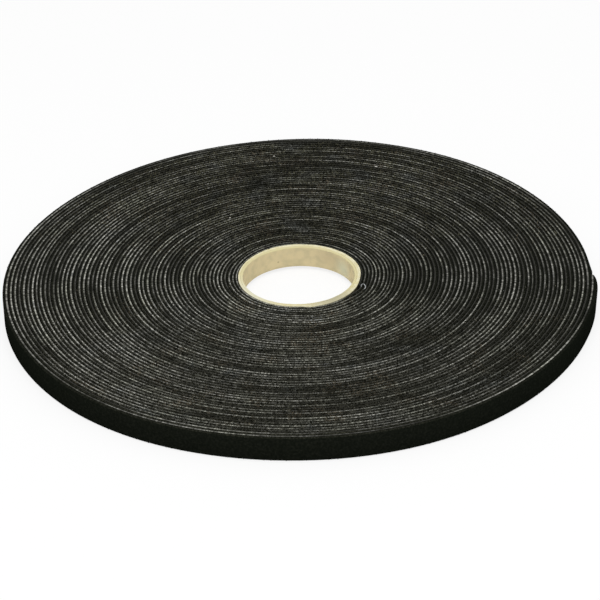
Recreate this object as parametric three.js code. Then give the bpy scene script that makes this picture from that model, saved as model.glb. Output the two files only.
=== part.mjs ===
// Hook and loop tape roll. One long strip of tape, with hooks on one side and loop pile on the
// other, is wound flat on a short paperboard core. It holds to itself, so nothing else closes it.
// Millimetres, +Z up. The roll lies on its side: the lower tape edges are in the plane z = 0, and
// the Z axis is the axis of the core's bore.

import * as THREE from "three";

// Tape
const tapeWidth = 10;
const rollRadius = 117.4; // outer face of the tape at its free end
const hookThickness = 1.1; // hook side, which faces the core
const pileThickness = 2.1; // loop side, at least: it takes up what the whole loops leave over
const bondGap = 0.3; // from the hook side to the pile that is bonded to its back
const turnGap = 0.45; // from one turn's pile to the next turn's hooks

// Core, a tube of paperboard plies
const boreRadius = 22.4;
const plyThickness = 0.6;
const plyGap = 0.3; // glue line between two plies
const coreShortfall = 0.8; // the core is cut this much shorter than the tape is wide
const coreLift = 0.9; // from the lower tape edges up to the core's lower rim
const coreGap = 0.53; // from the core up to the corners of the first turn

// Free end, the last stretch of the outermost turn
const rootGap = 0.3; // from the winding to the stretch that peels off it

// Counts and angles
const plyNames = ["core_inner_ply", "core_middle_ply", "core_outer_ply"];
const stepsPerLoop = 24;
const outlineSteps = 3; // finer steps in each of those, round the roll's outline
const coreSides = 2 * stepsPerLoop;
const innerEndAngle = THREE.MathUtils.degToRad(-20);
const freeEndAngle = THREE.MathUtils.degToRad(18); // how far the free end reaches past its root
const fullTurn = 2 * Math.PI;

// Derived sizes. The real roll has 56 turns of thinner tape. Here each loop stands for two or
// three of them, and there are as many whole loops as fit between the core and the rim.
const coreRadius = boreRadius + plyNames.length * (plyThickness + plyGap) - plyGap;
const coreHeight = tapeWidth - coreShortfall;
const firstTurnRadius = coreRadius + coreGap;
const loopOffset = hookThickness + bondGap;
const woundDepth = rollRadius - firstTurnRadius + turnGap;
const freeEndTurns = freeEndAngle / fullTurn;
const loops = Math.floor(woundDepth / (loopOffset + pileThickness + turnGap) - freeEndTurns) - 1;
const endTurns = loops + freeEndTurns;
const pitch = woundDepth / (endTurns + 1);
const tapeThickness = pitch - turnGap;
const loopThickness = tapeThickness - loopOffset;

// Finish of each kind of piece
const paperboard = { color: 0xc9b98d, roughness: 0.85, metalness: 0 };
const hookFilm = { color: 0x6f6f6a, roughness: 0.6, metalness: 0 };
const loopPile = { color: 0x1b1c19, roughness: 1, metalness: 0 };

function namedMesh(name, geometry, finish) {
  const mesh = new THREE.Mesh(geometry, new THREE.MeshStandardMaterial(finish));
  mesh.name = name;
  return mesh;
}

// A ring about the Z axis, from a rectangular profile that closes on itself.
function ringGeometry(innerRadius, thickness, height) {
  const outerRadius = innerRadius + thickness;
  const profile = [
    new THREE.Vector2(innerRadius, 0),
    new THREE.Vector2(outerRadius, 0),
    new THREE.Vector2(outerRadius, height),
    new THREE.Vector2(innerRadius, height),
    new THREE.Vector2(innerRadius, 0),
  ];
  return new THREE.LatheGeometry(profile, coreSides).rotateX(Math.PI / 2);
}

function makeCore() {
  const core = new THREE.Group();
  plyNames.forEach((name, index) => {
    const innerRadius = boreRadius + index * (plyThickness + plyGap);
    core.add(namedMesh(name, ringGeometry(innerRadius, plyThickness, coreHeight), paperboard));
  });
  core.position.z = coreLift;
  core.rotation.z = innerEndAngle; // its corners line up with the winding's
  return core;
}

// A point of the winding: so many turns out from the inner end, and so far out from the tape's
// inner face. The radius grows at a steady rate, which makes the spiral.
function windingPoint(turns, offset) {
  const angle = innerEndAngle + turns * fullTurn;
  const radius = firstTurnRadius + pitch * turns + offset;
  return new THREE.Vector2(radius * Math.cos(angle), radius * Math.sin(angle));
}

// The turns at which a stretch of the winding has its corners. They fall at the same angles in
// every loop, so the loops lie parallel and none cuts the next.
function cornerTurns(start, end) {
  const corners = [start];
  for (let step = 0; step < end * stepsPerLoop; step += 1) {
    const turns = step / stepsPerLoop;
    if (turns > start) corners.push(turns);
  }
  corners.push(end);
  return corners;
}

// The sections of a strip, each given by its inner and its outer corner. One lies at each corner
// of the winding. Finer ones round the outer face of the outermost turn, whose inner face stays
// flat between the corners, like the turn that it lies on.
function stripSections(start, end, offset, thickness, makesOutline) {
  const corners = cornerTurns(start, end);
  const sections = [];
  corners.slice(0, -1).forEach((corner, index) => {
    const next = corners[index + 1];
    const steps = makesOutline && corner >= endTurns - 1 ? outlineSteps : 1;
    for (let step = 0; step < steps; step += 1) {
      const share = step / steps;
      const turns = THREE.MathUtils.lerp(corner, next, share);
      const inner = windingPoint(corner, offset).lerp(windingPoint(next, offset), share);
      sections.push({ inner, outer: windingPoint(turns, offset + thickness) });
    }
  });
  sections.push({ inner: windingPoint(end, offset), outer: windingPoint(end, offset + thickness) });
  return sections;
}

// One unbroken strip of rectangular section that follows the winding from start to end, closed
// by a square cut at both ends.
function stripGeometry(start, end, offset, thickness, makesOutline) {
  const positions = [];
  const indices = [];
  const sections = stripSections(start, end, offset, thickness, makesOutline);
  for (const { inner, outer } of sections) {
    positions.push(inner.x, inner.y, 0, outer.x, outer.y, 0);
    positions.push(outer.x, outer.y, tapeWidth, inner.x, inner.y, tapeWidth);
  }
  const corners = 4;
  const addQuad = (a, b, c, d) => indices.push(a, b, c, a, c, d);
  for (let section = 1; section < sections.length; section += 1) {
    const here = section * corners;
    const before = here - corners;
    for (let corner = 0; corner < corners; corner += 1) {
      const next = (corner + 1) % corners;
      addQuad(before + corner, here + corner, here + next, before + next);
    }
  }
  const last = (sections.length - 1) * corners;
  addQuad(0, 1, 2, 3);
  addQuad(last + 3, last + 2, last + 1, last);
  const geometry = new THREE.BufferGeometry();
  geometry.setAttribute("position", new THREE.Float32BufferAttribute(positions, 3));
  geometry.setIndex(indices);
  geometry.computeVertexNormals();
  return geometry;
}

// The tape's two sides over one stretch of the winding.
function makeTape(prefix, start, end) {
  const tape = new THREE.Group();
  const hookSide = stripGeometry(start, end, 0, hookThickness, false);
  const loopSide = stripGeometry(start, end, loopOffset, loopThickness, true);
  tape.add(namedMesh(`${prefix}hook_strip`, hookSide, hookFilm));
  tape.add(namedMesh(`${prefix}loop_strip`, loopSide, loopPile));
  return tape;
}

// The free end turns about the line where its outer face leaves the winding, so its group has its
// origin there. Turned clockwise, seen from above, it peels off the roll.
function makeFreeEnd() {
  const start = loops + rootGap / (rollRadius * fullTurn);
  const peelLine = windingPoint(start, tapeThickness);
  const freeEnd = makeTape("free_end_", start, endTurns);
  freeEnd.traverse((piece) => piece.geometry?.translate(-peelLine.x, -peelLine.y, 0));
  freeEnd.position.set(peelLine.x, peelLine.y, 0);
  return freeEnd;
}

// The least distance from the corners and mid-points of a strip's outer face to the flat faces of
// its own next turn.
function leastGapToItself(offset, thickness) {
  const stations = cornerTurns(0, endTurns);
  const inner = stations.map((turns) => windingPoint(turns, offset));
  const outer = stations.map((turns) => windingPoint(turns, offset + thickness));
  const nearest = new THREE.Vector3();
  let least = Infinity;
  for (let station = 1; station < stations.length; station += 1) {
    const middle = outer[station].clone().lerp(outer[station - 1], 1 / 2);
    for (let other = station + 1; other < stations.length; other += 1) {
      const faceStart = new THREE.Vector3(inner[other - 1].x, inner[other - 1].y, 0);
      const faceEnd = new THREE.Vector3(inner[other].x, inner[other].y, 0);
      const face = new THREE.Line3(faceStart, faceEnd);
      for (const point of [outer[station], middle]) {
        const sample = new THREE.Vector3(point.x, point.y, 0);
        const isNextTurn = stations[other] - stations[station] > 1 / 2;
        const distance = face.closestPointToPoint(sample, true, nearest).distanceTo(sample);
        if (isNextTurn && distance < least) least = distance;
      }
    }
  }
  return least;
}

console.log(`tape, least gap from turn to turn: ${leastGapToItself(0, tapeThickness).toFixed(3)} mm`);
console.log(`hook strip, least gap to itself: ${leastGapToItself(0, hookThickness).toFixed(3)} mm`);
console.log(
  `loop strip, least gap to itself: ${leastGapToItself(loopOffset, loopThickness).toFixed(3)} mm`,
);

const roll = new THREE.Group();
roll.add(makeCore(), makeTape("", 0, loops), makeFreeEnd());

export default roll;
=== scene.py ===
import math
import random

import bmesh
import bpy
from mathutils import Matrix, Vector, noise
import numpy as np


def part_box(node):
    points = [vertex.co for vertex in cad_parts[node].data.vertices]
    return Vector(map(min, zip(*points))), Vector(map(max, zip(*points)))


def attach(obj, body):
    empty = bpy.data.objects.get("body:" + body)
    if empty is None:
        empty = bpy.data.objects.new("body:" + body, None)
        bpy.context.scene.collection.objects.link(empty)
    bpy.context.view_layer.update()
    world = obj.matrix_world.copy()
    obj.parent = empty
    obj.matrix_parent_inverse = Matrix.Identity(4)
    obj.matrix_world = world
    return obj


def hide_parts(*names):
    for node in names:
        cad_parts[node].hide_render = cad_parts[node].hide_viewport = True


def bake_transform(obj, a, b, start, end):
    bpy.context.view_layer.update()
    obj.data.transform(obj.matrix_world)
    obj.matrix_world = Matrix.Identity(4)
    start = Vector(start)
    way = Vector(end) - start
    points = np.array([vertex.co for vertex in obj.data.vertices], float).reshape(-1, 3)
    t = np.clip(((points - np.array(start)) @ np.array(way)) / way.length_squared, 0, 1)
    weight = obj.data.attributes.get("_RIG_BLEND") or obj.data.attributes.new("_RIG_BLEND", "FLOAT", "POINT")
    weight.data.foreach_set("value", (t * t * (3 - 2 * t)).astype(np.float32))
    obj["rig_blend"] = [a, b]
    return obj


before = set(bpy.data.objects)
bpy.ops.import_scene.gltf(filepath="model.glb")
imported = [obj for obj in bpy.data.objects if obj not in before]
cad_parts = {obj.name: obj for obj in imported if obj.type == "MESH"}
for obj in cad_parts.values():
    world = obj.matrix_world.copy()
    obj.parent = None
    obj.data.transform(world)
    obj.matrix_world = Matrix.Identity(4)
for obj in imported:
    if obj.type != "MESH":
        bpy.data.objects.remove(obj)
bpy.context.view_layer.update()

# The roll lies flat on a pale table, in even studio light with one large soft lamp overhead.
# It is seen from a little over a metre away and about 31 degrees above the table.
camera_place = Vector((0.01491, -0.99082, 0.58738))
camera_heading = 0.0148
camera_dip = 0.5361
camera_tilt = -0.0282
lens_length = 173.39
table_radius = 3
table_sides = 96
table_drop = 0.0001
table_paint = (0.94, 0.94, 0.94, 1)
white = (1, 1, 1, 1)
table_glow = 1
glow_share = 0.8
sky_light = 0.62
lamp_place = Vector((0.02, -0.36, 1.15))
lamp_size = 0.9
lamp_power = 7.4

scene = bpy.context.scene
scene.view_settings.view_transform = "Standard"

camera_data = bpy.data.cameras.new("camera")
camera_data.lens = lens_length
camera = bpy.data.objects.new("camera", camera_data)
camera.matrix_world = (
    Matrix.Translation(camera_place)
    @ Matrix.Rotation(camera_heading, 4, "Z")
    @ Matrix.Rotation(math.pi / 2 - camera_dip, 4, "X")
    @ Matrix.Rotation(camera_tilt, 4, "Z")
)
scene.collection.objects.link(camera)
scene.camera = camera

lamp_data = bpy.data.lights.new("softbox", "AREA")
lamp_data.shape = "DISK"
lamp_data.size = lamp_size
lamp_data.energy = lamp_power
lamp = bpy.data.objects.new("softbox", lamp_data)
lamp.location = lamp_place
lamp.rotation_euler = lamp_place.to_track_quat("Z", "Y").to_euler()
scene.collection.objects.link(lamp)


def seen_directly(tree):
    """1 on rays that come from the camera, from a mirror or through glass, and 0 on those that
    light things."""
    path = tree.nodes.new("ShaderNodeLightPath")
    seen = path.outputs["Is Camera Ray"]
    for other in ("Is Glossy Ray", "Is Transmission Ray"):
        either = tree.nodes.new("ShaderNodeMath")
        either.operation = "MAXIMUM"
        tree.links.new(seen, either.inputs[0])
        tree.links.new(path.outputs[other], either.inputs[1])
        seen = either.outputs[0]
    return seen


world = bpy.data.worlds.new("studio")
world.use_nodes = True
scene.world = world
studio = world.node_tree
sky = studio.nodes["Background"]
sky.inputs["Strength"].default_value = sky_light
sky.inputs["Color"].default_value = white
backdrop = studio.nodes.new("ShaderNodeBackground")
backdrop.inputs["Color"].default_value = white
either_sky = studio.nodes.new("ShaderNodeMixShader")
studio.links.new(seen_directly(studio), either_sky.inputs[0])
studio.links.new(sky.outputs[0], either_sky.inputs[1])
studio.links.new(backdrop.outputs[0], either_sky.inputs[2])
studio.links.new(either_sky.outputs[0], studio.nodes["World Output"].inputs["Surface"])

table_top = bpy.data.materials.new("table_top")
table_top.use_nodes = True
tree = table_top.node_tree
paint = tree.nodes["Principled BSDF"]
paint.inputs["Base Color"].default_value = table_paint
paint.inputs["Roughness"].default_value = 1
paint.inputs["Specular IOR Level"].default_value = 0
glow = tree.nodes.new("ShaderNodeEmission")
glow.inputs["Strength"].default_value = table_glow
shown_glow = tree.nodes.new("ShaderNodeMath")
shown_glow.operation = "MULTIPLY"
shown_glow.inputs[1].default_value = glow_share
tree.links.new(seen_directly(tree), shown_glow.inputs[0])
pale_top = tree.nodes.new("ShaderNodeMixShader")
tree.links.new(shown_glow.outputs[0], pale_top.inputs[0])
tree.links.new(paint.outputs[0], pale_top.inputs[1])
tree.links.new(glow.outputs[0], pale_top.inputs[2])
tree.links.new(pale_top.outputs[0], tree.nodes["Material Output"].inputs["Surface"])

bm = bmesh.new()
bmesh.ops.create_circle(bm, cap_ends=True, segments=table_sides, radius=table_radius)
bmesh.ops.translate(bm, verts=bm.verts, vec=(0, 0, -table_drop))
table_mesh = bpy.data.meshes.new("table")
bm.to_mesh(table_mesh)
bm.free()
table_mesh.materials.append(table_top)
table = bpy.data.objects.new("table", table_mesh)
scene.collection.objects.link(table)

# Core: a short tube of cream paperboard, three plies wound on a mandrel and glued. It is sawn to
# length a little shorter than the tape is wide, which leaves its rims pale and slightly fuzzy. The
# outer ply doesn't go all the way round: its two ends show as low steps.
core_nodes = ("core_inner_ply", "core_middle_ply", "core_outer_ply")
bore_radius = 0.0222
core_radius = 0.0248
core_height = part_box(core_nodes[0])[1].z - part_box(core_nodes[0])[0].z
core_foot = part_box(core_nodes[0])[0].z
core_top = core_foot + core_height
ply_radii = (bore_radius, 0.02315, 0.02405, core_radius)
ply_feet = (0.0005, 0.0002, 0)
glue_line = 0.00002
core_steps = 240
wall_cuts = 5
weld_distance = 1e-6
outer_ply_start = math.radians(-87)
outer_ply_turn = math.radians(240)
skived_start = math.radians(7)
skived_end = math.radians(48)
angle_slack = 1e-6
thinnest_ply = 0.00008
swelling = (0.00032, math.radians(-58), math.radians(30))
pinch = (-0.00036, math.radians(-8), math.radians(15))
glued_edge_rounding = 0.00005
bore_edge_rounding = 0.00028
rim_reach = glued_edge_rounding * 1.5
sharp_angle = math.radians(60)
rim_unevenness = 0.00007
rim_waves_per_metre = 260
rim_frays_per_metre = 1100
board_roughness = 0.85
board_gloss = 0.25
fine_detail = 3.0
board_colour = (0.725, 0.618, 0.380, 1)
board_shade = (0.61, 0.533, 0.330, 1)
board_cloud_size = 0.0035
board_cloud_range = (0.35, 0.7)
fibre_size = 0.0007
fibre_stretch = (1, 1, 3)
fibre_range = (0.52, 0.72)
fibre_strength = 0.35
board_grain = 0.0004
board_relief = 0.00004
rim_colour = (0.675, 0.607, 0.342, 1)
ragged_size = 0.0012
ragged_height = 0.0005
rim_band = (-0.0003, 0.0001)
fuzz_size = 0.0016
fuzz_range = (0.36, 0.60)
least_fuzz = 0.15
rim_edge_depth = 0.0002
rim_edge_colour = (0.790, 0.745, 0.520, 1)
# Painted light on the rim at the front left
lit_rim_colour = (0.725, 0.705, 0.535, 1)
lit_rim_place = Vector((-0.0190, -0.0140, 0.0101))
lit_rim_size = 0.019
lit_rim_strength = 0.9
# Painted shade on the rim at the front right
shaded_rim_colour = (0.490, 0.455, 0.300, 1)
shaded_rim_place = Vector((0.01354, -0.01933, 0.0101))
shaded_rim_size = 0.0165
stain_colour = (0.66, 0.675, 0.50, 1)
stain_place = Vector((0.0178, 0.0132, 0.0045))
stain_size = 0.0065
stain_strength = 0.75
# Painted shade on the inner wall just under the rim, at the back right of the bore
under_rim_shade_colour = (0.52, 0.435, 0.275, 1)
under_rim_shade_place = Vector((0.0120, 0.0188, 0.0080))
under_rim_shade_size = 0.0085
under_rim_shade_strength = 0.45
fleck_colour = (0.13, 0.09, 0.05, 1)
fleck_place = Vector((-0.0085, 0.0207, 0.0044))
fleck_size = 0.0006
fleck_strength = 0.7
wall_back_colour = (0.10, 0.085, 0.05, 1)
wall_back_blur = 0.0001
wall_back_band = (-0.0004, -0.0002)


def soft_material(name, roughness, gloss):
    """A new material, its node tree, its shader, and the output that gives the place on a piece."""
    material = bpy.data.materials.new(name)
    material.use_nodes = True
    tree = material.node_tree
    shader = tree.nodes["Principled BSDF"]
    shader.inputs["Roughness"].default_value = roughness
    shader.inputs["Specular IOR Level"].default_value = gloss
    place = tree.nodes.new("ShaderNodeTexCoord").outputs["Object"]
    return material, tree, shader, place


def mixed(tree, share, first, second):
    """A colour between two, each plain or another node's output. The share is an output."""
    mix = tree.nodes.new("ShaderNodeMix")
    mix.data_type = "RGBA"
    tree.links.new(share, mix.inputs["Factor"])
    for socket, colour in ((mix.inputs[6], first), (mix.inputs[7], second)):
        if isinstance(colour, tuple):
            socket.default_value = colour
        else:
            tree.links.new(colour, socket)
    return mix.outputs[2]


def ranged(tree, value, low, high, to_low=0.0, to_high=1.0):
    """The value taken from one range to another, smoothly and without leaving it."""
    step = tree.nodes.new("ShaderNodeMapRange")
    step.interpolation_type = "SMOOTHSTEP"
    step.inputs["From Min"].default_value = low
    step.inputs["From Max"].default_value = high
    step.inputs["To Min"].default_value = to_low
    step.inputs["To Max"].default_value = to_high
    tree.links.new(value, step.inputs["Value"])
    return step.outputs["Result"]


def cloudy(tree, place, grain, detail=2.0, stretch=(1, 1, 1)):
    """Noise whose clouds are about so many metres across, stretched along an axis if need be."""
    spread = tree.nodes.new("ShaderNodeMapping")
    spread.inputs["Scale"].default_value = stretch
    tree.links.new(place, spread.inputs["Vector"])
    clouds = tree.nodes.new("ShaderNodeTexNoise")
    clouds.inputs["Scale"].default_value = 1 / grain
    clouds.inputs["Detail"].default_value = detail
    tree.links.new(spread.outputs["Vector"], clouds.inputs["Vector"])
    return clouds.outputs["Fac"]


def product(tree, first, second):
    """Two values multiplied. The second may be a plain number."""
    times = tree.nodes.new("ShaderNodeMath")
    times.operation = "MULTIPLY"
    tree.links.new(first, times.inputs[0])
    if isinstance(second, float):
        times.inputs[1].default_value = second
    else:
        tree.links.new(second, times.inputs[1])
    return times.outputs[0]


def nearness(tree, place, point, size):
    """1 at a point of the piece, falling smoothly to 0 at so many metres from it."""
    span = tree.nodes.new("ShaderNodeVectorMath")
    span.operation = "DISTANCE"
    tree.links.new(place, span.inputs[0])
    span.inputs[1].default_value = point
    return ranged(tree, span.outputs["Value"], 0.0, size, 1.0, 0.0)


def raised(tree, height, depth, shader):
    """Gives the shader a relief of so many metres from a height value."""
    relief = tree.nodes.new("ShaderNodeBump")
    relief.inputs["Strength"].default_value = 1
    relief.inputs["Distance"].default_value = depth
    tree.links.new(height, relief.inputs["Height"])
    tree.links.new(relief.outputs["Normal"], shader.inputs["Normal"])


def paperboard():
    material, tree, shader, place = soft_material("paperboard", board_roughness, board_gloss)
    up = tree.nodes.new("ShaderNodeSeparateXYZ")
    tree.links.new(place, up.inputs[0])
    clouds = cloudy(tree, place, board_cloud_size, fine_detail)
    board = mixed(tree, ranged(tree, clouds, *board_cloud_range), board_colour, board_shade)
    fibres = cloudy(tree, place, fibre_size, stretch=fibre_stretch)
    fibres = ranged(tree, fibres, *fibre_range, 0.0, fibre_strength)
    board = mixed(tree, fibres, board, rim_colour)
    # Marks on the inner wall: a pale stain, painted shade under the rim at the back right, and a dark fleck
    for spot, size, strength, colour in (
        (stain_place, stain_size, stain_strength, stain_colour),
        (under_rim_shade_place, under_rim_shade_size, under_rim_shade_strength, under_rim_shade_colour),
        (fleck_place, fleck_size, fleck_strength, fleck_colour),
    ):
        mark = product(tree, nearness(tree, place, spot, size), strength)
        board = mixed(tree, mark, board, colour)

    # The saw's cut along the upper rim is ragged, and most fuzzy round the outer ply
    ragged = tree.nodes.new("ShaderNodeMath")
    ragged.operation = "MULTIPLY_ADD"
    tree.links.new(cloudy(tree, place, ragged_size, fine_detail), ragged.inputs[0])
    ragged.inputs[1].default_value = ragged_height
    tree.links.new(up.outputs["Z"], ragged.inputs[2])
    cut = ranged(tree, ragged.outputs[0], core_top + rim_band[0], core_top + rim_band[1])
    board = mixed(tree, cut, board, rim_colour)
    across = tree.nodes.new("ShaderNodeVectorMath")
    across.operation = "MULTIPLY"
    across.inputs[1].default_value = (1, 1, 0)
    tree.links.new(place, across.inputs[0])
    out = tree.nodes.new("ShaderNodeVectorMath")
    out.operation = "LENGTH"
    tree.links.new(across.outputs["Vector"], out.inputs[0])
    outside = ranged(tree, out.outputs["Value"], ply_radii[1] - rim_edge_depth, ply_radii[2])
    fuzz = cloudy(tree, place, fuzz_size, fine_detail)
    fuzz = ranged(tree, fuzz, *fuzz_range, least_fuzz, 1.0)
    fuzzy_edge = product(tree, product(tree, outside, cut), fuzz)
    board = mixed(tree, fuzzy_edge, board, rim_edge_colour)
    # Painted light: the rim is paler and whiter at the front left
    lit_rim = product(tree, nearness(tree, place, lit_rim_place, lit_rim_size), cut)
    board = mixed(tree, product(tree, lit_rim, lit_rim_strength), board, lit_rim_colour)
    # Painted shade: the rim is darker at the front right
    shaded_rim = product(tree, nearness(tree, place, shaded_rim_place, shaded_rim_size), cut)
    board = mixed(tree, shaded_rim, board, shaded_rim_colour)

    # The outer ply is dark behind the first turn, below the rim
    blurred = (ply_radii[2] - wall_back_blur, ply_radii[2] + wall_back_blur)
    behind = ranged(tree, out.outputs["Value"], *blurred)
    below = (core_top + wall_back_band[0], core_top + wall_back_band[1])
    below = ranged(tree, up.outputs["Z"], *below, 1.0, 0.0)
    board = mixed(tree, product(tree, behind, below), board, wall_back_colour)
    tree.links.new(board, shader.inputs["Base Color"])
    raised(tree, cloudy(tree, place, board_grain, fine_detail), board_relief, shader)
    return material


def add_piece(name, mesh_data, *materials):
    """A finished piece of the object, smoothly shaded, with its place in its mesh."""
    for face in mesh_data.faces:
        face.smooth = True
    mesh = bpy.data.meshes.new(name)
    mesh_data.to_mesh(mesh)
    mesh_data.free()
    for material in materials:
        mesh.materials.append(material)
    piece = bpy.data.objects.new(name, mesh)
    scene.collection.objects.link(piece)
    return piece


def bump(angle, feature):
    """A rise of so many metres at an angle, which dies away over its spread to both sides."""
    rise, centre, spread = feature
    away = (angle - centre + math.pi) % (2 * math.pi) - math.pi
    return rise * math.exp(-((away / spread) ** 2))


def outer_ply_share(angle):
    """How much of its thickness the outer ply has at an angle: none where it's missing, and less
    at its skived ends."""
    turned = (angle - outer_ply_start + angle_slack) % (2 * math.pi)
    return min(max(min(turned / skived_start, (outer_ply_turn - turned) / skived_end, 1), 0), 1)


def core_surface(angle):
    """Radius of the core's outer surface at an angle."""
    ply = (core_radius - ply_radii[2]) * outer_ply_share(angle)
    return ply_radii[2] + ply + bump(angle, swelling) + bump(angle, pinch)


board = paperboard()
for index, node in enumerate(core_nodes):
    inner = ply_radii[index] + glue_line * (index > 0)
    outer = ply_radii[index + 1] - glue_line * (index < 2)
    foot = core_foot + ply_feet[index]
    outermost = index == 2
    bm = bmesh.new()
    corners = [
        bm.verts.new((radius, 0, height))
        for radius, height in ((inner, foot), (outer, foot), (outer, core_top), (inner, core_top))
    ]
    section = [bm.edges.new((corners[i], corners[(i + 1) % 4])) for i in range(4)]
    bmesh.ops.subdivide_edges(bm, edges=section[1:], cuts=wall_cuts, use_grid_fill=False)
    if outermost:
        turned = Matrix.Rotation(outer_ply_start, 3, "Z")
        bmesh.ops.rotate(bm, verts=bm.verts, cent=(0, 0, 0), matrix=turned)
    bmesh.ops.spin(
        bm,
        geom=bm.verts[:] + bm.edges[:],
        axis=(0, 0, 1),
        cent=(0, 0, 0),
        angle=outer_ply_turn if outermost else 2 * math.pi,
        steps=core_steps,
        use_merge=not outermost,
    )
    bmesh.ops.remove_doubles(bm, verts=bm.verts, dist=weld_distance)
    if outermost:
        bmesh.ops.holes_fill(bm, edges=[edge for edge in bm.edges if edge.is_boundary])
        for vertex in bm.verts:
            angle = math.atan2(vertex.co.y, vertex.co.x)
            radius = math.hypot(vertex.co.x, vertex.co.y)
            thickness = max(core_surface(angle) - inner, thinnest_ply)
            vertex.co.xy *= (inner + (radius - inner) / (outer - inner) * thickness) / radius
    bmesh.ops.recalc_face_normals(bm, faces=bm.faces)
    rims = [
        edge
        for edge in bm.edges
        if len(edge.link_faces) == 2 and edge.calc_face_angle(0) > sharp_angle
    ]
    bmesh.ops.bevel(
        bm,
        geom=rims,
        offset=glued_edge_rounding,
        segments=2,
        profile=0.5,
        affect="EDGES",
        material=-1,
        clamp_overlap=True,
    )
    for vertex in bm.verts:
        spot = Vector((vertex.co.x, vertex.co.y, index))
        wave = noise.noise(spot * rim_waves_per_metre)
        fray = noise.noise(spot * rim_frays_per_metre)
        if vertex.co.z > core_foot + core_height / 2:
            short = max(bore_radius + bore_edge_rounding - math.hypot(vertex.co.x, vertex.co.y), 0)
            drop = bore_edge_rounding - math.sqrt(max(bore_edge_rounding**2 - short**2, 0))
            at_top = vertex.co.z > core_top - rim_reach
            vertex.co.z += rim_unevenness * (wave + fray) - drop * at_top
    piece = add_piece(node + "_board", bm, board)
    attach(piece, "roll")
    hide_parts(node)

# Tape: a moulded film with hooks on its inner face, bonded to a brushed loop pile on its outer
# face. It is slit 10 mm wide, laid out flat here, and then wound on the core, 56 turns of it. The
# turns are tighter near the core, and the roll isn't quite round.
whole_turns = 56
inner_end_angle = math.radians(-20)
free_end_turns = 18 / 360
tape_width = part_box("loop_strip")[1].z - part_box("loop_strip")[0].z
roll_radius = 0.1174
core_play = 0.00008
wound_depth = roll_radius - core_radius - core_play
pitch = wound_depth / (whole_turns + free_end_turns + 1)
tightest_pitch = 0.00138
tight_turns = 20
loose_turns = whole_turns + free_end_turns + 1 - tight_turns / 2
loosest_pitch = (wound_depth - tightest_pitch * tight_turns / 2) / loose_turns
hook_height = 0.00036
film_thickness = 0.00052
film_back = hook_height + film_thickness
hook_inset = 0.00045
steps_per_turn = 150
tape_weld_distance = 1e-7
turns_to_settle = 12
climb_shares = (0.05, 0.5)
turn_unevenness = 0.00042
turn_wave = (1.3, 0.61)
even_first_turns = 3
even_last_turns = 4
last_lift = 0.00025
lift_turns = 0.06
edge_unevenness = 0.00014
edge_wave = (2.2, 0.8)
edge_wave_gain = 1.6
out_of_round = (
    (-0.000124, 0.000214),
    (-0.000268, 0.000051),
    (-0.000268, -0.000206),
    (0.000031, -0.000031),
    (0.000034, 0.000103),
    (0.000086, -0.000103),
)


def eased(share):
    """0 up to 0, 1 from 1 on, and a smooth rise between them."""
    share = min(max(share, 0), 1)
    return share * share * (3 - 2 * share)


def angle_at(turns):
    """Angle round the roll at so many turns from the tape's inner end."""
    return inner_end_angle + 2 * math.pi * turns


def ring_noise(angle, turns, wave):
    """Noise that changes smoothly round the roll and from turn to turn, at the wave's two rates."""
    round_rate, turn_rate = wave
    spot = (math.cos(angle) * round_rate, math.sin(angle) * round_rate, turns * turn_rate)
    return noise.noise(Vector(spot))


def depth_at(turns):
    """Thickness of so many turns pressed on each other, on top of the core."""
    tight = min(turns, tight_turns)
    grown = (loosest_pitch - tightest_pitch) * (tight * tight / 2 / tight_turns + turns - tight)
    return tightest_pitch * turns + grown


def winding_radius(turns):
    """Radius of the tape's inner face. Near the core each turn climbs over the inner end, and
    further out the climb spreads into a steady spiral."""
    part = turns % 1
    settled = eased(turns / turns_to_settle)
    climb_share = climb_shares[0] + (climb_shares[1] - climb_shares[0]) * settled
    climb = eased((part - 1 + climb_share) / climb_share)
    angle = angle_at(turns)
    wave = ring_noise(angle, turns, turn_wave)
    tight = eased(turns / even_first_turns) * eased((whole_turns - turns) / even_last_turns)
    steady = turns - part + climb * (1 - settled) + part * settled
    radius = core_radius + core_play + depth_at(steady) + turn_unevenness * wave * tight
    share = min(turns / whole_turns, 1)
    for order, (along, across) in enumerate(out_of_round, 1):
        radius += share * (along * math.cos(order * angle) + across * math.sin(order * angle))
    radius += last_lift * eased((turns - whole_turns + lift_turns / 2) / lift_turns)
    return radius - (1 - share) * (core_radius - core_surface(angle))


def edge_height(turns):
    """How far the tape's lower edge stands above the table: a little more or less in each turn."""
    wave = edge_wave_gain * ring_noise(2 * math.pi * turns, turns, edge_wave)
    return edge_unevenness * (0.5 + 0.5 * max(min(wave, 1), -1))


def tape_length(turns):
    """Metres of tape up to so many turns from the inner end."""
    return 2 * math.pi * turns * (core_radius + core_play + film_back + pitch * turns / 2)


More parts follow.
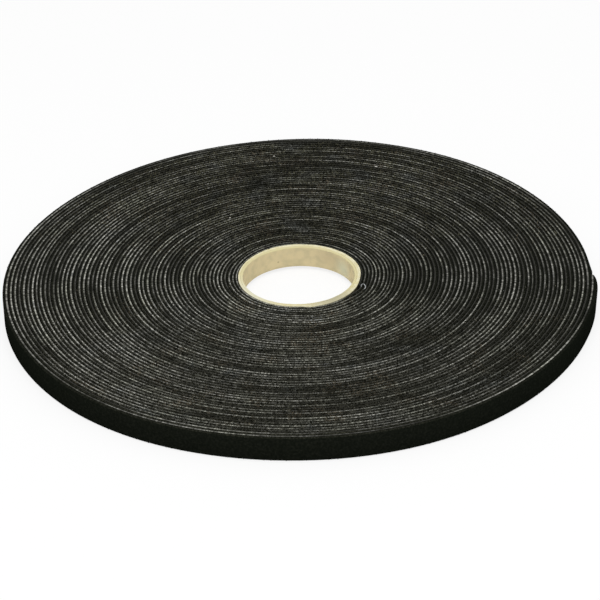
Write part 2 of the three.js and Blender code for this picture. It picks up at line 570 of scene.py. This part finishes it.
def flat_strip(outline, start, end, steps, spacing=lambda share: share):
    """A strip laid out flat, with the closed outline as its cross-section. X is the number of turns
    from the tape's inner end, Y goes through the tape from its inner face and Z across its width.
    Its UV map holds the metres along the tape and round the outline."""
    bm = bmesh.new()
    bmesh.ops.create_grid(bm, x_segments=steps, y_segments=len(outline), size=0.5)
    uv_map = bm.loops.layers.uv.new("tape")
    closed = outline + outline[:1]
    girth = [0]
    for here, there in zip(closed, closed[1:]):
        girth.append(girth[-1] + math.dist(here, there))
    for face in bm.faces:
        for loop in face.loops:
            turns = start + (end - start) * spacing(loop.vert.co.x + 0.5)
            row = round((loop.vert.co.y + 0.5) * len(outline))
            loop[uv_map].uv = (tape_length(turns), girth[row])
    for vertex in bm.verts:
        row = round((vertex.co.y + 0.5) * len(outline))
        turns = start + (end - start) * spacing(vertex.co.x + 0.5)
        vertex.co = (turns, *closed[row])
    bmesh.ops.remove_doubles(bm, verts=bm.verts, dist=tape_weld_distance)
    ends = bmesh.ops.holes_fill(bm, edges=[edge for edge in bm.edges if edge.is_boundary])
    for face in ends["faces"]:
        for loop in face.loops:
            loop[uv_map].uv = (tape_length(loop.vert.co.x), loop.vert.co.y)
    return bm


def wind(bm):
    """Winds a flat strip on the core. What goes through the tape is pressed together or let out
    with the room between its turn and the next, so that neighbours never cross."""
    for vertex in bm.verts:
        turns, through, up = vertex.co
        inner = winding_radius(turns)
        room = winding_radius(turns + 1) - inner
        radius = inner + through * room / pitch
        angle = angle_at(turns)
        height = up + edge_height(turns)
        vertex.co = (radius * math.cos(angle), radius * math.sin(angle), height)
    bmesh.ops.recalc_face_normals(bm, faces=bm.faces)


# Hook side of the tape: black moulded film, which is pale grey where the blade has cut it. Its
# hooks stop short of both edges, so each turn shows a pale line beside a dark groove.
film_inset = 0.00006
edge_face_depth = hook_inset / 4
film_outline = [
    (0, hook_inset),
    (hook_height, hook_inset),
    (hook_height, film_inset),
    (film_back, film_inset),
    (film_back, tape_width - film_inset),
    (hook_height, tape_width - film_inset),
    (hook_height, tape_width - hook_inset),
    (0, tape_width - hook_inset),
]
film_roughness = 0.7
film_gloss = 0.08
film_black = (0.0030, 0.0031, 0.0020, 1)
film_scuffed = (0.010, 0.010, 0.007, 1)
scuff_grain = 0.0004
scuff_range = (0.4, 0.75)
film_grain = 0.0003
film_relief = 0.00008
cut_gloss = 0.1
cut_dark = (0.013, 0.013, 0.0092, 1)
cut_pale = (0.53, 0.527, 0.475, 1)
cut_olive = (0.51, 0.517, 0.44, 1)
olive_size = 0.016
olive_range = (0.46, 0.62)
cut_cold = (0.46, 0.49, 0.51, 1)
cold_size = 0.012
cold_range = (0.62, 0.78)
cold_strength = 0.5
dash_length = 0.0028
dash_range = (0.34, 0.64)
least_dash = 0.36
bead_length = 0.00095
bead_range = (0.32, 0.68)
least_bead = 0.34
cut_grain = 0.0004
cut_relief = 0.00006
usual_paleness = 0.41
lit_side_paleness = 0.17
lit_side_angle = math.radians(213)
lit_quarters_paleness = 0.05
combed_over = 0.03
core_front_cut = 0.28
core_front_turns = 12
core_front_fade = 8
clean_stretches = ((55.97, 0.08, 0.85), (55.06, 0.05, 0.75))
patch_wave = (1.9, 0.87)
patch_strength = 0.70
stretches_per_metre = 21
stretch_row = (5.5, 1.5)
stretch_strength = 0.72
bits_per_metre = 150
bit_row = (2.5, 8.5)
bit_strength = 0.55
least_paleness = 0.04
most_paleness = 1.2


def length_noise(tree, grain):
    """Noise along the tape, with stretches about so many metres long, from the piece's own map."""
    own_map = tree.nodes.new("ShaderNodeUVMap")
    own_map.uv_map = "tape"
    parts = tree.nodes.new("ShaderNodeSeparateXYZ")
    tree.links.new(own_map.outputs["UV"], parts.inputs[0])
    runs = tree.nodes.new("ShaderNodeTexNoise")
    runs.noise_dimensions = "1D"
    runs.inputs["Scale"].default_value = 1 / grain
    runs.inputs["Detail"].default_value = 1
    tree.links.new(parts.outputs["X"], runs.inputs["W"])
    return runs.outputs["Fac"]


def from_vertices(tree, name):
    """The value that the piece's vertices hold under a name."""
    attribute = tree.nodes.new("ShaderNodeAttribute")
    attribute.attribute_name = name
    return attribute.outputs["Fac"]


def moulded_film():
    name = "moulded_hook_film"
    material, tree, shader, place = soft_material(name, film_roughness, film_gloss)
    scuffs = ranged(tree, cloudy(tree, place, scuff_grain), *scuff_range)
    tree.links.new(mixed(tree, scuffs, film_black, film_scuffed), shader.inputs["Base Color"])
    raised(tree, cloudy(tree, place, film_grain), film_relief, shader)
    return material


def cut_film():
    material, tree, shader, place = soft_material("cut_film_edge", film_roughness, cut_gloss)
    dashes = ranged(tree, length_noise(tree, dash_length), *dash_range, least_dash, 1.0)
    beads = ranged(tree, length_noise(tree, bead_length), *bead_range, least_bead, 1.0)
    pale = product(tree, product(tree, dashes, beads), from_vertices(tree, "paleness"))
    olive = ranged(tree, cloudy(tree, place, olive_size), *olive_range)
    colder = ranged(tree, cloudy(tree, place, cold_size), *cold_range, 0.0, cold_strength)
    clean = mixed(tree, colder, mixed(tree, olive, cut_pale, cut_olive), cut_cold)
    tree.links.new(mixed(tree, pale, cut_dark, clean), shader.inputs["Base Color"])
    raised(tree, cloudy(tree, place, cut_grain), cut_relief, shader)
    return material


def paleness_at(turns):
    """How clean the blade has cut the film there: 0 where lint hides the cut and 1 where it shows
    pale. It runs on over neighbouring turns, and it changes along the tape too. It also holds painted
    light and shade: paler on the left of the roll and darker on its right."""
    angle = angle_at(turns)
    length = tape_length(turns)
    patch = ring_noise(angle, turns, patch_wave)
    stretch = noise.noise(Vector((length * stretches_per_metre, *stretch_row)))
    bit = noise.noise(Vector((length * bits_per_metre, *bit_row)))
    # Painted light and shade: the cut shows paler on the left of the roll and darker on its right
    side = lit_side_paleness * math.cos(angle - lit_side_angle) + lit_quarters_paleness * math.sin(2 * angle)
    near_core = eased((core_front_turns - turns) / core_front_fade)
    in_front = min(math.sin(angle), 0)
    side -= combed_over * math.sin(angle) ** 2 + core_front_cut * in_front * near_core
    side += sum(
        rise * math.exp(-(((turns - middle) / spread) ** 2))
        for middle, spread, rise in clean_stretches
    )
    paleness = usual_paleness + side + patch_strength * patch
    paleness += stretch_strength * stretch
    paleness += bit_strength * bit
    return min(max(paleness, least_paleness), most_paleness)


def show_cut(bm):
    """The narrow faces along both edges of the film get the second finish."""
    paleness = bm.verts.layers.float.new("paleness")
    for vertex in bm.verts:
        vertex[paleness] = paleness_at(vertex.co.x)
    for face in bm.faces:
        centre = face.calc_center_median()
        at_edge = min(centre.z, tape_width - centre.z) < edge_face_depth
        face.material_index = 1 if at_edge and len(face.verts) == 4 else 0


film_finishes = (moulded_film(), cut_film())
hook_side = flat_strip(film_outline, 0, whole_turns, whole_turns * steps_per_turn)
show_cut(hook_side)
wind(hook_side)
piece = add_piece("wound_hook_film", hook_side, *film_finishes)
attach(piece, "roll")
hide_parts("hook_strip")

# Loop side of the tape: black polyamide loops, brushed to a dense matt pile. The blade leaves short
# ends standing along both edges, which catch more light than the pile's face.
turn_play = 0.00003
pile_face = pitch - turn_play
pile_middle = (film_back + pile_face) / 2
pile_inset = 0.00016
pile_rounding = 0.00022
pile_outline = [
    (film_back, pile_inset),
    (pile_middle, pile_inset),
    (pile_face - pile_rounding / 2, pile_inset + pile_rounding / 4),
    (pile_face, pile_inset + pile_rounding),
    (pile_face, tape_width - pile_inset - pile_rounding),
    (pile_face - pile_rounding / 2, tape_width - pile_inset - pile_rounding / 4),
    (pile_middle, tape_width - pile_inset),
    (film_back, tape_width - pile_inset),
]
pile_black = (0.0050, 0.0062, 0.0044, 1)
pile_lint = (0.0084, 0.0098, 0.0072, 1)
lint_size = 0.0010
lint_range = (0.45, 0.75)
cut_pile_dark = (0.0200, 0.0198, 0.0135, 1)
cut_pile_pale = (0.086, 0.085, 0.063, 1)
cut_loop_size = 0.0008
cut_loop_range = (0.40, 0.70)
pile_grain = 0.0005
pile_relief = 0.00012
cut_depth = 0.0005
cut_at_sides = 0.32
cut_in_front = 0.68
cut_shaded_right = 0.12
outermost_turns = 1.5
outermost_loss = 0.6
last_turn_fullness = 0.00031
springing_turns = 0.003
sprung_pile = 0.00042
sprung_turns = 0.006


def brushed_pile():
    material, tree, shader, place = soft_material("brushed_loop_pile", 1, 0)
    lint = ranged(tree, cloudy(tree, place, lint_size, fine_detail), *lint_range)
    loops = ranged(tree, cloudy(tree, place, cut_loop_size, fine_detail), *cut_loop_range)
    face = mixed(tree, lint, pile_black, pile_lint)
    cut = mixed(tree, loops, cut_pile_dark, cut_pile_pale)
    pile = mixed(tree, from_vertices(tree, "cut_edge"), face, cut)
    tree.links.new(pile, shader.inputs["Base Color"])
    raised(tree, cloudy(tree, place, pile_grain, fine_detail), pile_relief, shader)
    return material


def mark_cut(bm):
    """Marks how near each point is to a cut edge of the tape, and how much the cut shows there, less on the
    right of the roll as painted shade.
    """
    cut_edge = bm.verts.layers.float.new("cut_edge")
    for vertex in bm.verts:
        depth = min(vertex.co.z, tape_width - vertex.co.z)
        angle = angle_at(vertex.co.x)
        outermost = eased(vertex.co.x - whole_turns + outermost_turns)
        shown = cut_at_sides + cut_in_front * math.sin(angle) ** 2
        # Painted shade: the cut pile is darker on the right of the roll
        shown -= cut_shaded_right * max(math.cos(angle), 0)
        shown = (1 - eased(depth / cut_depth)) * shown
        vertex[cut_edge] = shown * (1 - outermost_loss * outermost)


def stand_fuller(bm):
    """The pile of the outermost turn has nothing pressing on it, so it stands a little fuller, most
    of all where it springs up just past the free end."""
    for vertex in bm.verts:
        past_end = vertex.co.x - whole_turns - free_end_turns + 1
        share = eased(past_end / springing_turns)
        depth = max(vertex.co.y - film_back, 0) / (pile_face - film_back)
        sprung = sprung_pile * math.exp(-(((past_end - springing_turns) / sprung_turns) ** 2))
        vertex.co.y += (last_turn_fullness + sprung) * share * depth


pile_finish = brushed_pile()
loop_side = flat_strip(pile_outline, 0, whole_turns, whole_turns * steps_per_turn)
mark_cut(loop_side)
stand_fuller(loop_side)
wind(loop_side)
piece = add_piece("wound_loop_pile", loop_side, pile_finish)
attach(piece, "roll")
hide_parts("loop_strip")

# Cut tufts: where the blade went through the pile, bundles of loop ends stand up beside the film
# and lean over it here and there. Stray ends lie across the turns in small clumps, mostly in the
# front and the rear. All are matt polyamide like the pile, and the light catches some of them.
tufts_per_edge = 5 * 2**13
tuft_radius = 0.00021
tuft_sizes = (0.7, 1.3)
tuft_clearance = tuft_radius * 1.6
tuft_root = pile_inset * 1.6
tuft_heights = (0.00018, 0.00044)
tuft_growth = 0.8
settled_turns = 2
settling = 0.6
tuft_lean = 0.00020
tuft_lean_along = 1.6
tuft_leans_through = (-1.8, 1.2)
tuft_spread = 1.1
tuft_light = (0.30, 0.75)
tuft_shine = 2.8
tuft_foot_light = (0.35, 0.65)
stray_layers = 2
strays_from = 1.5
strays_to = whole_turns - 2
stray_spread = 1.5
stray_heights = (0.00030, 0.00060)
stray_reach = 0.00050
stray_along = 1.5
stray_size = 0.00029
stray_light = (0.3, 1.4)
stray_shine = 2.8
stray_least = 0.04
stray_clump = 0.0014
stray_clumping = 3.6
tuft_dark = (0.0078, 0.0077, 0.0048, 1)
tuft_pale = (0.150, 0.149, 0.120, 1)
tuft_pale_behind = (0.150, 0.146, 0.094, 1)
behind_range = (-0.08, 0.08)
tuft_warm = (0.165, 0.140, 0.098, 1)
tuft_cold = (0.132, 0.142, 0.132, 1)
tint_size = 0.015
warm_range = (0.54, 0.66)
cold_tint_range = (0.34, 0.46)
tuft_grain = 0.0005
tuft_grain_range = (0.3, 0.7)
least_tuft_grain = 0.4
chance = random.Random(7)


def multiply(bm, copies):
    """Doubles the one form that the mesh holds until there are so many, and returns the vertices of
    each, always in the same order."""
    order = bm.verts.layers.int.new("order")
    for index, vertex in enumerate(bm.verts):
        vertex[order] = index
    mesh = bpy.data.meshes.new("copies")
    made = 1
    while made < copies:
        bm.to_mesh(mesh)
        bm.from_mesh(mesh)
        made *= 2
    bpy.data.meshes.remove(mesh)
    forms = []
    for first in bm.verts:
        if first[order] == 0:
            form = [first]
            for vertex in form:
                linked = [edge.other_vert(vertex) for edge in vertex.link_edges]
                form += [other for other in linked if other not in form]
            forms.append(sorted(form, key=lambda vertex: vertex[order]))
    surplus = [vertex for form in forms[copies:] for vertex in form]
    bmesh.ops.delete(bm, geom=surplus, context="VERTS")
    return forms[:copies]


def turns_at(length):
    """The number of turns from the inner end at which so many metres of tape are wound."""
    first = core_radius + core_play + film_back
    return (math.sqrt(first**2 + pitch * length / math.pi) - first) / pitch


def cut_tufts(start, end, tufts, at_top, stray=False):
    """Tufts along one edge of a stretch of the tape, laid out flat as the strips are. Stray ones
    lie across it, and draw their own values after those of a tuft."""
    bm = bmesh.new()
    bmesh.ops.create_cone(bm, cap_ends=True, segments=3, radius1=1, radius2=0, depth=1)
    bm.verts.layers.float.new("lightness")
    forms = multiply(bm, tufts)
    lightness = bm.verts.layers.float["lightness"]
    lengths = (tape_length(start), tape_length(end))
    for index, tuft in enumerate(forms):
        length = lengths[0] + (lengths[1] - lengths[0]) * (index + chance.random()) / tufts
        turns = turns_at(length)
        room = pile_face - film_back - tuft_clearance
        through = film_back + tuft_radius + room * chance.random()
        if stray:
            through = pile_face * chance.random()
            while chance.random() > stray_spread * math.sin(angle_at(turns)) ** 2:
                turns = turns_at(lengths[0] + (lengths[1] - lengths[0]) * chance.random())
        angle = angle_at(turns)
        combed = math.sin(angle) ** 2 * eased((whole_turns - turns) / settled_turns)
        height = tuft_heights[0] + (tuft_heights[1] - tuft_heights[0]) * chance.random() ** 2
        outermost = eased(turns - whole_turns + settled_turns)
        height *= 1 + tuft_growth * combed - settling * outermost
        lean_along = tuft_lean * chance.uniform(-1, 1) * tuft_lean_along
        lean_through = tuft_lean * (1 + tuft_spread * combed)
        lean_through *= chance.uniform(*tuft_leans_through)
        turned = chance.uniform(0, 2 * math.pi)
        size = tuft_radius * chance.uniform(*tuft_sizes)
        paleness = paleness_at(turns)
        bright = (tuft_light[0] + tuft_light[1] * paleness) * (1 + tuft_shine * combed)
        bright *= chance.random() ** 3
        if stray:
            height = chance.uniform(*stray_heights)
            lean_along = stray_reach * chance.uniform(-stray_along, stray_along)
            lean_through = stray_reach * chance.uniform(-1, 1)
            size = stray_size
            bright = stray_shine * (stray_least + chance.random() ** 3)
            bright *= stray_light[0] + stray_light[1] * paleness
            spot = winding_radius(turns) * Vector((math.cos(angle), math.sin(angle), 0))
            bright *= max(1 + stray_clumping * noise.noise(spot / stray_clump), 0)
        arc = 2 * math.pi * winding_radius(turns)
        for vertex in tuft:
            share = vertex.co.z + 0.5
            spin = Matrix.Rotation(turned, 3, "Z") @ vertex.co
            shift = (spin.x * size + share * lean_along) / arc
            vertex.co.x = min(max(turns + shift, start), end)
            vertex.co.y = through + spin.y * size + share * lean_through
            up = tuft_root - share * height
            vertex.co.z = tape_width - up if at_top else max(up, 0)
            vertex[lightness] = bright * (tuft_foot_light[0] + tuft_foot_light[1] * share)
    return bm


def tuft_material():
    material, tree, shader, place = soft_material("cut_tufts", 1, 0)
    grain = ranged(tree, cloudy(tree, place, tuft_grain), *tuft_grain_range, least_tuft_grain, 1.0)
    share = product(tree, from_vertices(tree, "lightness"), grain)
    tint = cloudy(tree, place, tint_size)
    parts = tree.nodes.new("ShaderNodeSeparateXYZ")
    tree.links.new(place, parts.inputs[0])
    behind = ranged(tree, parts.outputs["Y"], *behind_range)
    pale = mixed(tree, behind, tuft_pale, tuft_pale_behind)
    pale = mixed(tree, ranged(tree, tint, *warm_range), pale, tuft_warm)
    pale = mixed(tree, ranged(tree, tint, *cold_tint_range, 1.0, 0.0), pale, tuft_cold)
    tree.links.new(mixed(tree, share, tuft_dark, pale), shader.inputs["Base Color"])
    return material


tuft_finish = tuft_material()
for edge_name, at_top in (("upper", True), ("lower", False)):
    tufts = cut_tufts(0, whole_turns, tufts_per_edge, at_top)
    stand_fuller(tufts)
    wind(tufts)
    piece = add_piece("wound_pile_" + edge_name + "_tufts", tufts, tuft_finish)
    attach(piece, "roll")

for layer in range(stray_layers):
    strays = cut_tufts(strays_from, strays_to, tufts_per_edge, True, stray=True)
    wind(strays)
    piece = add_piece("wound_pile_stray_ends_" + str(layer + 1), strays, tuft_finish)
    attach(piece, "roll")

# Fluff: the scissors left a sliver of film at the tape's inner end, which curls up beside the core,
# and the faces of the roll have picked up a few specks of pale lint.
sliver_path = (
    (0.0259, -0.0116, 0.0099),
    (0.0263, -0.0105, 0.0101),
    (0.0261, -0.0094, 0.0104),
    (0.0255, -0.0087, 0.0106),
    (0.0248, -0.0091, 0.0105),
    (0.0246, -0.0100, 0.0101),
)
sliver_radius = 0.00026
sliver_taper = 0.55
sliver_flatness = 0.6
sliver_sides = 8
steps_per_bend = 6
sliver_colour = (0.47, 0.49, 0.49, 1)
sliver_shade = (0.22, 0.23, 0.23, 1)
specks = (
    ((0.0327, 0.0898), 0.00075, 1.0),
    ((-0.0283, 0.0480), 0.00055, 0.8),
    ((-0.0791, 0.0123), 0.00065, 0.9),
    ((-0.0782, -0.0059), 0.00060, 0.8),
    ((-0.0760, 0.0106), 0.00050, 0.7),
    ((-0.0106, 0.1012), 0.00070, 0.8),
)
speck_lumps = 0.35
lumps_per_radius = 2.2
lump_seed = 900
speck_breadth = 0.5
speck_rise = 0.4
speck_flatness = 0.25
lint_colour = (0.62, 0.61, 0.55, 1)
lint_shade = (0.34, 0.33, 0.28, 1)
fluff_roughness = 0.8
fluff_gloss = 0.1
fluff_patch_size = 0.0004
fluff_patch_range = (0.35, 0.65)


def fluff(name, colour, shade):
    material, tree, shader, place = soft_material(name, fluff_roughness, fluff_gloss)
    patches = ranged(tree, cloudy(tree, place, fluff_patch_size), *fluff_patch_range)
    tree.links.new(mixed(tree, patches, shade, colour), shader.inputs["Base Color"])
    return material


def cut_lengthwise(bm, cuts):
    """Cuts a form that is 1 high into slices, by its upright edges."""
    upright = [edge for edge in bm.edges if abs(edge.verts[0].co.z - edge.verts[1].co.z) > 0.5]
    bmesh.ops.subdivide_edges(bm, edges=upright, cuts=cuts, use_grid_fill=False)


bm = bmesh.new()
bmesh.ops.create_cone(bm, cap_ends=True, segments=sliver_sides, radius1=1, radius2=1, depth=1)
bends = [Vector(point) for point in sliver_path]
cut_lengthwise(bm, steps_per_bend * (len(bends) - 1) - 1)
for vertex in bm.verts:
    share = min(max(vertex.co.z + 0.5, 0), 1)
    bend = min(int(share * (len(bends) - 1)), len(bends) - 2)
    part = share * (len(bends) - 1) - bend
    before = bends[max(bend - 1, 0)]
    after = bends[min(bend + 2, len(bends) - 1)]
    here = bends[bend]
    there = bends[bend + 1]
    spot = 0.5 * (
        2 * here
        + (there - before) * part
        + (2 * before - 5 * here + 4 * there - after) * part**2
        + (3 * here - before - 3 * there + after) * part**3
    )
    onwards = (there - here).normalized()
    sideways = onwards.cross(Vector((0, 0, 1))).normalized()
    upwards = vertex.co.y * sideways.cross(onwards) * sliver_flatness
    radius = sliver_radius * (1 - sliver_taper * share)
    vertex.co = spot + radius * (vertex.co.x * sideways + upwards)
bmesh.ops.recalc_face_normals(bm, faces=bm.faces)
sliver_finish = fluff("film_sliver", sliver_colour, sliver_shade)
piece = add_piece("inner_end_film_sliver", bm, sliver_finish)
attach(piece, "roll")

bm = bmesh.new()
for (x, y), size, length in specks:
    ball = bmesh.ops.create_icosphere(bm, subdivisions=2, radius=1)["verts"]
    turned = Matrix.Rotation(math.atan2(y, x) + math.pi / 2, 3, "Z")
    for vertex in ball:
        seed = Vector((x, y, 0)) * lump_seed
        lumpy = 1 + speck_lumps * noise.noise(vertex.co * lumps_per_radius + seed)
        along = vertex.co.x * size * length * lumpy
        spot = turned @ Vector((along, vertex.co.y * size * speck_breadth * lumpy, 0))
        height = (speck_rise + vertex.co.z * lumpy) * size * speck_flatness
        height = tape_width + edge_unevenness / 2 + height
        vertex.co = Vector((x + spot.x, y + spot.y, height))
bmesh.ops.recalc_face_normals(bm, faces=bm.faces)
piece = add_piece("lint_specks", bm, fluff("pale_lint", lint_colour, lint_shade))
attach(piece, "roll")

# Free end: the last stretch of the same tape, cut square and a little rounded by handling. It lies
# on the turn below with nothing pressing on it, so its pile stands fuller. It peels off from its
# root, where the tape bends.
free_end = whole_turns + free_end_turns
free_end_steps = 84
free_end_tufts = 64
fullness = 0.00075
lower_fullness = 0.35
filled_share = 0.6
rounding_length = 0.013
least_rounding = 0.02
hook_root = 0.00009
hook_tip = -0.00008
hook_sinking = 0.00001
bend_length = 0.0055
root = Vector((roll_radius * math.cos(inner_end_angle), roll_radius * math.sin(inner_end_angle), 0))
along_root = Vector((-math.sin(inner_end_angle), math.cos(inner_end_angle), 0))


def crowded(share):
    """Sections stand closer together towards the root, where the tape bends, and towards its
    rounded end."""
    return 0.5 - 0.5 * math.cos(math.pi * share)


def fill_out(bm):
    """Lets the pile stand fuller towards the end, and rounds it down to the film over the last few
    millimetres."""
    for vertex in bm.verts:
        left = (free_end - vertex.co.x) * 2 * math.pi * roll_radius
        rounding = 1 - (1 - min(left / rounding_length, 1)) ** 2
        rounding = math.sqrt(max(rounding, least_rounding))
        higher = lower_fullness + (1 - lower_fullness) * vertex.co.z / tape_width
        filled = eased((vertex.co.x - whole_turns) / free_end_turns / filled_share)
        fuller = last_turn_fullness + fullness * higher * filled
        grown = 1 + fuller / (pile_face - film_back)
        depth = max(vertex.co.y - film_back, 0)
        vertex.co.y += depth * (grown * rounding - 1)


bare_film = [(max(through, hook_root - hook_sinking), up) for through, up in film_outline]
hook_side = flat_strip(bare_film, whole_turns, free_end, free_end_steps, crowded)
show_cut(hook_side)
wind(hook_side)
film_piece = add_piece("free_end_hook_film", hook_side, *film_finishes)
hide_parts("free_end_hook_strip")

loop_side = flat_strip(pile_outline, whole_turns, free_end, free_end_steps, crowded)
mark_cut(loop_side)
fill_out(loop_side)
wind(loop_side)
pile_piece = add_piece("free_end_loop_pile", loop_side, pile_finish)
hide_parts("free_end_loop_strip")

free_pieces = [film_piece, pile_piece]
for edge_name, at_top in (("upper", True), ("lower", False)):
    tufts = cut_tufts(whole_turns, free_end, free_end_tufts, at_top)
    fill_out(tufts)
    wind(tufts)
    piece = add_piece("free_end_" + edge_name + "_tufts", tufts, tuft_finish)
    free_pieces.append(piece)

# Hooks: moulded with the film in straight rows, one after the other along the tape, each a short
# stem that curls over at its tip. Only those of the free end can ever be seen, once it is peeled
# back, so only those are made one by one.
hook_rows = 11
hooks_per_row = 40
hook_margin = 0.0006
hook_stagger = 0.25
hook_gauge = 0.00013
hook_breadth = 1.4
hook_taper = 0.45
hook_cuts = 4
stem_share = 0.45
stem_rise = 0.55
curl_turn = 0.75
curl_rise = 0.4
curl_reach = 0.5
curl_shear = 0.5
hook_rise = 0.95
hook_reach = 0.00019
hook_roughness = 0.45
hook_gloss = 0.4
hook_black = (0.010, 0.010, 0.0085, 1)
wear_size = 0.0006
wear_range = (0.4, 0.7)


def hook_material():
    material, tree, shader, place = soft_material("moulded_hooks", hook_roughness, hook_gloss)
    worn = ranged(tree, cloudy(tree, place, wear_size), *wear_range)
    tree.links.new(mixed(tree, worn, hook_black, film_scuffed), shader.inputs["Base Color"])
    return material


bm = bmesh.new()
bmesh.ops.create_cube(bm, size=1)
cut_lengthwise(bm, hook_cuts)
for vertex in bm.verts:
    share = vertex.co.z + 0.5
    bent = max(share - stem_share, 0) / (1 - stem_share) * math.pi * curl_turn
    rise = min(share, stem_share) / stem_share * stem_rise + math.sin(bent) * curl_rise
    rise = rise * (hook_root - hook_tip) / hook_rise
    reach = (1 - math.cos(bent)) * curl_reach
    slim = 1 - hook_taper * share
    vertex.co = Vector((
        vertex.co.x * slim * hook_gauge + reach * hook_reach,
        rise + vertex.co.x * math.sin(bent) * hook_gauge * curl_shear,
        vertex.co.y * slim * hook_gauge * hook_breadth,
    ))
hooks = multiply(bm, hook_rows * hooks_per_row)
first_row = hook_margin + hook_inset
root_arc = 2 * math.pi * winding_radius(whole_turns)
for index, hook in enumerate(hooks):
    row, place_in_row = divmod(index, hooks_per_row)
    across = first_row + (tape_width - 2 * first_row) * row / (hook_rows - 1)
    leaning = 1 if row % 2 else -1
    from_root = (place_in_row + 0.5 + hook_stagger * leaning) / hooks_per_row * free_end_turns
    for vertex in hook:
        vertex.co = Vector((
            whole_turns + from_root + leaning * vertex.co.x / root_arc,
            hook_root - vertex.co.y,
            across + vertex.co.z,
        ))
wind(bm)
piece = add_piece("free_end_hooks", bm, hook_material())
free_pieces.append(piece)

for piece in free_pieces:
    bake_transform(piece, "roll", "free_end", start=root, end=root + along_root * bend_length)
